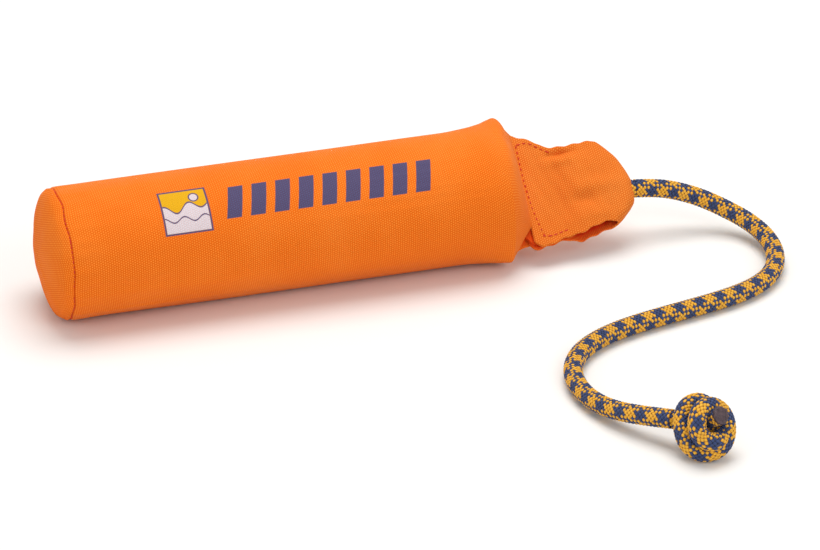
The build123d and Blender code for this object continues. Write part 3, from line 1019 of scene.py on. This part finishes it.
tabPlan = dict(
    frontStart=95.0, backStart=93.4, thick=1.5,
    sewnHalf=2.1, sewnEnd=112.0, fullAt=125.0,
    # the outline: place along, place across
    frontLow=[(95, -29.8), (97, -31.3), (100, -32.6), (106.6, -31.2), (114, -29.2), (119.5, -28.8),
              (124.5, -27.3), (129, -25.8), (135, -24.7), (155, -24.2)],
    backLow=[(93.4, -29.6), (95.0, -31.8), (96.2, -32.6), (100, -32.0), (106, -30.9), (113, -29.6),
             (120.5, -30.8), (128, -28.8), (133, -27.4), (138, -25.6), (142, -23.2), (155, -20.0)],
    high=[(93.4, 28.0), (95, 28.4), (97, 27.9), (99, 26.9), (101, 26.0), (105, 24.5), (109.4, 21.5),
          (112, 19.9), (116, 19.0), (124, 18.7), (132, 19.3), (138, 19.0), (155, 18.4)],
    # the folded edge: place across, how far out it reaches, half the gap between the two sides
    creaseLow=-24.9, creaseHigh=18.4,
    crease=[(-26, 139.5), (-22.9, 145.2), (-19.5, 149.6), (-15.9, 152.2), (-8, 153.1), (-2.6, 152.3),
            (6.9, 148.9), (12.5, 144.9), (17.5, 140.4), (19.5, 138.2)],
    gap=[(-26, 4.3), (-18, 5.2), (-8, 6.0), (0, 5.8), (8, 5.0), (14, 3.9), (19.5, 2.9)],
    rows=64, arc=12, columns=54,
    # soft dents and ridges of each side: place along, across, their spread, height
    dents=[
        (119.0, 14.8, 7.0, 1.8, -2.4), (118.0, 10.6, 7.0, 2.4, 1.2), (130.0, 8.0, 8.0, 6.0, 0.8),
        (125.5, -11.5, 6.5, 4.0, -2.3), (135.0, -5.0, 12.0, 3.6, 1.1), (117.0, -22.0, 6.0, 4.0, 0.5),
        (131.0, -20.5, 8.0, 3.0, 0.8), (144.0, 4.0, 4.0, 6.0, -0.4), (108.0, 19.5, 4.0, 2.0, -0.35),
        (106.0, 6.0, 5.0, 12.0, -0.25), (113.0, -10.0, 3.0, 10.0, -0.3),
    ],
    backDents=[
        (122.0, 9.0, 8.0, 5.0, -1.0), (134.0, -7.0, 12.0, 3.8, 0.9), (128.0, -16.0, 7.0, 4.0, -1.2),
        (138.0, 6.0, 6.0, 6.0, 0.5),
    ],
    edgeWave=0.35, insideShade=0.9,
)


def dentHeight(dents, u, v):
    total = 0
    for atU, atV, spreadU, spreadV, height in dents:
        total = total + height * np.exp(-((u - atU) / spreadU) ** 2 - ((v - atV) / spreadV) ** 2)
    return total


def tabHeight(plan, u, v, gap, dents):
    # height of one side's middle above the middle of the tab
    opened = smooth(u, plan["sewnEnd"], plan["fullAt"])
    flat = plan["sewnHalf"] + 0.12 * np.sin(u * 0.9 + v * 0.35) * smooth(u, 97, 101)
    return flat + (gap - plan["sewnHalf"]) * opened + dentHeight(dents, u, v)


def makeTab(plan):
    shares = np.linspace(0, 1, plan["columns"])
    surface, uv, shade = [], [], []
    for q in shares:
        vEnd = plan["creaseLow"] + (plan["creaseHigh"] - plan["creaseLow"]) * q
        reach = float(table(plan["crease"], vEnd))
        gap = float(table(plan["gap"], vEnd))
        turnAt = reach - gap - plan["thick"] / 2
        s = np.linspace(0, 1, plan["rows"])
        u = plan["frontStart"] + (turnAt - plan["frontStart"]) * s
        uBack = plan["backStart"] + (turnAt - plan["backStart"]) * s
        vFront = table(plan["frontLow"], u) * (1 - q) + table(plan["high"], u) * q
        vBack = table(plan["backLow"], uBack) * (1 - q) + table(plan["high"], uBack) * q
        wFront = tabHeight(plan, u, vFront, gap, plan["dents"])
        wBack = -tabHeight(plan, uBack, vBack, gap, plan["backDents"])
        turn = np.linspace(0, math.pi, plan["arc"] + 2)[1:-1]
        mid = (wFront[-1] + wBack[-1]) / 2
        half = (wFront[-1] - wBack[-1]) / 2
        uArc = turnAt + gap * np.sin(turn)
        wArc = mid + half * np.cos(turn)
        vArc = vFront[-1] + (vBack[-1] - vFront[-1]) * turn / math.pi
        us = np.concatenate([u, uArc, uBack[::-1]])
        vs = np.concatenate([vFront, vArc, vBack[::-1]])
        ws = np.concatenate([wFront, wArc, wBack[::-1]])
        edge = plan["edgeWave"] * np.sin(us * 0.8 + 1.3) * (smooth(q, 0.93, 1) + smooth(-q, -0.07, 0))
        surface.append(leaned(us, vs + edge, ws))
        run = np.concatenate([[0], np.cumsum(np.hypot(np.diff(us), np.diff(ws)))])
        uv.append(np.stack([run, vs], axis=1))
        # painted shade on the tab's inner faces: none at the lower edge, full a few millimetres further in
        low, backLow = table(plan["frontLow"], u), table(plan["backLow"], uBack[::-1])
        lows = np.concatenate([low, np.full(plan["arc"], plan["creaseLow"]), backLow])
        shade.append(smooth(vs - lows, 1.0, 4.5) * plan["insideShade"])
    surface, uv = np.array(surface), np.array(uv)
    rows, columns = surface.shape[:2]
    faces, corners = gridFaces(rows, columns, False, True)
    pairs = [tuple(uv[i, j]) for quad in corners for i, j in quad]
    tab = addPiece("handleTab", surface.reshape(-1, 3) * mm, faces, pairs, tabCloth)
    shadeFolds(tab, shade)
    tab.data.materials.append(tabInside)
    wall = tab.modifiers.new("wall", "SOLIDIFY")
    wall.material_offset = 1
    wall.thickness = plan["thick"] * mm
    wall.offset = 0
    return subdivided(tab)


def topOfTab(u, v, lift, side=1):
    # a point just above the tab's upper or lower skin
    gap = float(table(tabPlan["gap"], v))
    dents = tabPlan["dents"] if side > 0 else tabPlan["backDents"]
    w = float(tabHeight(tabPlan, np.array(u, float), v, gap, dents)) + tabPlan["thick"] / 2 + lift
    return tuple(leaned(u, v, w * side))


tab = makeTab(tabPlan)
print("stage: tab", len(tab.data.polygons), "faces")

tonguePlan = dict(
    start=90.0, end=112.5, half=0.85, width=58, rows=60, columns=34, shade=0.6,
    low=[(90.0, -23.6), (92.0, -26.2), (94.0, -29.0), (95.6, -30.8), (98, -31.4), (101, -30.6), (106, -29.0),
         (112.5, -27.5)],
    high=[(90.0, 16.0), (95, 24.0), (100, 24.0), (106, 21.0), (112.5, 17.0)],
)


def makeTongue(plan):
    us = np.linspace(plan["start"], plan["end"], plan["columns"])
    shares = np.linspace(0, 1, plan["rows"])
    sides = []
    for sign in (1, -1):
        side = []
        for q in shares:
            v = table(plan["low"], us) * (1 - q) + table(plan["high"], us) * q
            near = smooth(-v, 27, 34)    # its lower corner hangs and waves a little
            w = 0.5 * np.sin(v * 0.5 + us * 0.2) * near - 1.4 * near
            side.append(leaned(us, v, w + sign * plan["half"]))
        sides.append(np.array(side))
    rows, columns = sides[0].shape[:2]
    top, corners = gridFaces(rows, columns, False)
    count = rows * columns
    faces = list(top) + [tuple(i + count for i in face[::-1]) for face in top]
    uv = [(us[j], shares[i] * plan["width"]) for quad in corners for i, j in quad]
    uv += [(us[j], shares[i] * plan["width"]) for quad in corners for i, j in quad[::-1]]
    border = [i * columns for i in range(rows)] + [(rows - 1) * columns + j for j in range(1, columns)]
    border += [i * columns + columns - 1 for i in range(rows - 2, -1, -1)] + list(range(columns - 2, 0, -1))
    for k, a in enumerate(border):
        b = border[(k + 1) % len(border)]
        faces.append((a, b, b + count, a + count))
        uv += [(0, 0), (1, 0), (1, 1), (0, 1)]
    points = np.concatenate([side.reshape(-1, 3) for side in sides]) * mm
    tongue = addPiece("closingTongue", points, faces, uv, tongueCloth)
    # painted shade: the whole tongue is darkened, as it is tucked inside the folded end
    shadeFolds(tongue, np.full(len(points), plan["shade"]))
    return tongue


tongue = makeTongue(tonguePlan)
print("stage: tongue", len(tongue.data.polygons), "faces")

stitchPlan = dict(
    thread=0.36 * mm,
    # places along and across the tab
    seamRow=[(97.2, 21.4), (97.0, 14.0), (96.95, 5.0), (97.3, -4.0), (97.9, -12.0), (99.2, -20.0),
             (100.7, -26.6)],
    upperRow=[(98.6, 22.6), (101.5, 23.0), (105.0, 22.0), (109.0, 19.2), (112.6, 16.9)],
    lowerRow=[(100.8, -27.2), (104.0, -27.6), (108.0, -27.0), (112.6, -25.9)],
    capRadius=32.0, capPoints=160, capZigzag=0.22, capBack=0.15, floorGap=0.9,
    # pitch, stitch length and seed of each row
    sewn=dict(seam=(2.9, 1.5, 3), upper=(3.0, 2.1, 13), lower=(3.0, 2.1, 23), cap=(2.55, 1.9, 33),
              side=(3.2, 2.2, 43)),
    capThick=0.9, capUneven=0.9,
    sideAngle=-80.6, sideRadius=33.0, sideGrows=0.002, sideFrom=-138, sideTo=74, sidePoints=40,
)


def makeStitchTree():
    tree, start = newTree("stitchTree", [
        ("Pitch", "NodeSocketFloat", 0.003),
        ("Stitch length", "NodeSocketFloat", 0.002),
        ("Thread radius", "NodeSocketFloat", 0.0004),
        ("Uneven", "NodeSocketFloat", 0.2),
        ("Seed", "NodeSocketInt", 0),
        ("Material", "NodeSocketMaterial", None),
    ])
    links = {"Curve": start.out("Geometry"), "Length": start.out("Pitch")}
    line = start.add("GeometryNodeResampleCurve", {"mode": "LENGTH"}, links)
    points = start.add("GeometryNodeCurveToPoints", {"mode": "EVALUATED"}, {"Curve": line}, "Points")
    turn = start.add("FunctionNodeAlignRotationToVector", {"axis": "Z"}, {"Vector": points.out("Tangent")})
    capsule = start.add("GeometryNodeMeshUVSphere", {}, {"Segments": 8, "Rings": 6, "Radius": 1.0})
    uneven = start.out("Uneven")
    seed = start.out("Seed")
    first, second = [start.random(number) for number in (seed, seed + 7)]
    thick = start.out("Thread radius") * (1 + (first - 0.5) * uneven)
    length = start.out("Stitch length") * (0.5 + (second - 0.5) * uneven)
    size = start.add("ShaderNodeCombineXYZ", {}, {"X": thick, "Y": thick, "Z": length})
    links = {"Points": points, "Instance": capsule, "Rotation": turn, "Scale": size}
    laid = start.add("GeometryNodeInstanceOnPoints", {}, links)
    finishTree(start, laid)
    return tree


stitchTree = makeStitchTree()


def stitchAlong(name, rows, pitch, length, seed, thick=1.0, uneven=0.25):
    # one piece of stitches from one or more rows of points
    meshes = []
    for number, row in enumerate(rows):
        line = routeLine(name + "Line", row, "POLY")
        values = {
            "Pitch": pitch * mm, "Stitch length": length * mm, "Uneven": uneven, "Seed": seed + number,
            "Thread radius": stitchPlan["thread"] * thick, "Material": threadYarn,
        }
        meshes.append(runTree(name + str(number), line, stitchTree, values))
        bpy.data.objects.remove(line)
    first = meshes[0]
    if len(meshes) > 1:
        chosen = dict(selected_objects=meshes, selected_editable_objects=meshes)
        with bpy.context.temp_override(active_object=first, object=first, **chosen):
            bpy.ops.object.join()
    first.name = name
    first.data.name = name
    return first


def onTab(row, side, lift=0.05, steps=5):
    # the row's points, closer together, on the tab's skin
    out = []
    for (u0, v0), (u1, v1) in zip(row, row[1:]):
        for k in range(steps):
            t = k / steps
            out.append(topOfTab(u0 + (u1 - u0) * t, v0 + (v1 - v0) * t, lift, side))
    out.append(topOfTab(*row[-1], lift, side))
    return out


def throughTab(name, row):
    # the same row on both sides of the tab
    sides = [onTab(stitchPlan[row + "Row"], side) for side in (1, -1)]
    return stitchAlong(name, sides, *stitchPlan["sewn"][row])


def capRing(plan):
    # round the cap seam, left open where it lies on the surface below
    angles = np.linspace(0, 2 * math.pi, stitchPlan["capPoints"], endpoint=False)
    zigzag = stitchPlan["capZigzag"] * np.where(np.arange(len(angles)) % 2, 1, -1)
    x = plan["seamX"] - stitchPlan["capBack"] + seamWander(angles) + zigzag
    radius = stitchPlan["capRadius"]
    ring = leaned(x, radius * np.cos(angles), radius * np.sin(angles))
    ring = ring[ring[:, 2] > stitchPlan["floorGap"]]
    low = np.argmax(np.linalg.norm(np.diff(ring, axis=0), axis=1))
    return [tuple(p) for p in np.roll(ring, -low - 1, axis=0)]


def sideRow(plan):
    # along the lengthwise seam on the far side
    turn = math.radians(plan["sideAngle"])
    x = np.linspace(plan["sideFrom"], plan["sideTo"], plan["sidePoints"])
    radius = plan["sideRadius"] + plan["sideGrows"] * (x + 140)
    return [tuple(p) for p in leaned(x, radius * math.cos(turn), radius * math.sin(turn))]


seamStitches = throughTab("seamRowStitches", "seam")
upperStitches = throughTab("upperEdgeStitches", "upper")
lowerStitches = throughTab("lowerEdgeStitches", "lower")
capSewn, sideSewn = stitchPlan["sewn"]["cap"], stitchPlan["sewn"]["side"]
capStitches = stitchAlong("capSeamStitches", [capRing(capPlan)], *capSewn,
                          stitchPlan["capThick"], stitchPlan["capUneven"])
sideStitches = stitchAlong("sideSeamStitches", [sideRow(stitchPlan)], *sideSewn)
print("stage: stitches made")

# the rope's tail inside the tab: flat and wide where it is sewn in, round at the crease
tailPlan = dict(start=114.6, roundAt=128.0, end=153.9, across=-8.0, flat=0.26, wide=1.22)


def makeTail(plan):
    places = np.linspace(plan["start"], plan["end"], 6)
    line = routeLine("tailLine", [tuple(leaned(u, plan["across"], 0.0)) for u in places])
    tail = runTree("ropeTail", line, braidTree, braidValues)
    bpy.data.objects.remove(line)
    turn = math.radians(coverPlan["lean"])
    points = np.array([v.co for v in tail.data.vertices]) / mm
    y, z = points[:, 1], points[:, 2] - coverPlan["axisZ"]
    v = y * math.cos(turn) + z * math.sin(turn) - plan["across"]
    w = -y * math.sin(turn) + z * math.cos(turn)
    share = smooth(points[:, 0], plan["start"], plan["roundAt"])
    v = v * (plan["wide"] + (1 - plan["wide"]) * share) + plan["across"]
    w = w * (plan["flat"] + (1 - plan["flat"]) * share)
    flat = leaned(points[:, 0], v, w) * mm
    tail.data.vertices.foreach_set("co", flat.astype(np.float32).ravel())
    tail.data.update()
    return tail


tail = makeTail(tailPlan)

# the rope's end, melted to a hard uneven face
tipPlan = dict(
    radius=4.35, face=1.15, dip=0.25, rings=14, columns=48, seed=9, lump=0.10, rough=0.16,
    # the rounded side: how far out along the rope, share of the radius
    side=[(-1.6, 0.86), (-0.9, 0.97), (-0.2, 1.01), (0.4, 0.985), (0.85, 0.93)],
)


def makeTip(plan, centre):
    end = np.array(centre[-1]) / mm
    along = end - np.array(centre[-6]) / mm
    along /= np.linalg.norm(along)
    side = np.cross(along, [0.0, 0.0, 1.0])
    side /= np.linalg.norm(side)
    up = np.cross(side, along)
    inner = [0.86 * (1 - k / plan["rings"]) for k in range(plan["rings"])]
    profile = plan["side"] + [(plan["face"] - plan["dip"] * (1 - share) ** 2, share) for share in inner]
    angles = np.linspace(0, 2 * math.pi, plan["columns"], endpoint=False)
    right, above = np.cos(angles), np.sin(angles)
    rings = []
    for index, (out, share) in enumerate(profile):
        lump = plan["lump"] * ripple(angles + index * 0.4, (3, 5, 8), plan["seed"]) * min(1, share * 2)
        r = plan["radius"] * share + lump
        height = np.full(len(angles), out)
        if index > 3:
            bumps = ripple(angles * 2 + index * 0.9, (1, 2, 3), plan["seed"] + index)
            height = height + plan["rough"] * share * bumps
        rings.append(end + np.outer(right * r, side) + np.outer(above * r, up) + np.outer(height, along))
    points = [tuple(p) for p in np.concatenate(rings) * mm]
    faces = gridFaces(len(rings), plan["columns"], True)[0]
    closeBoth(points, faces, [], plan["columns"], False)
    return addPiece("meltedTip", points, faces, None, meltedEnd)


tip = makeTip(tipPlan, linePoints(knotCurve))
print("stage: tail and tip made")

# the foam and the tack inside keep the model's shape
for node, material in (("foam_core", foamSkin), ("tail_tack", threadYarn)):
    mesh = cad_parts[node].data
    mesh.materials.clear()
    mesh.materials.append(material)

for line in (ropeLine, knotCurve):
    bpy.data.objects.remove(line)

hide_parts("cover_panel", "printed_badge", "printed_bars")
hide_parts("end_cap")
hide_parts("cap_seam_thread")
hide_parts("side_seam_thread")
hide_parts("handle_tab")
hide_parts("closing_tongue")
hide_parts("seam_row_stitches")
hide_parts("upper_edge_stitches")
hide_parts("lower_edge_stitches")
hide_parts("rope")
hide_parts("rope_knot")
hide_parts("rope_tip")
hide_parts("rope_tail")

for piece in (cap, capStitches, sideStitches, knot, tip):
    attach(piece, "bumper")
for piece in (tab, seamStitches, upperStitches, lowerStitches, tail):
    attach(piece, "tab")
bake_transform(rope)
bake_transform(tongue)
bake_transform(cover)

print("stage: done")
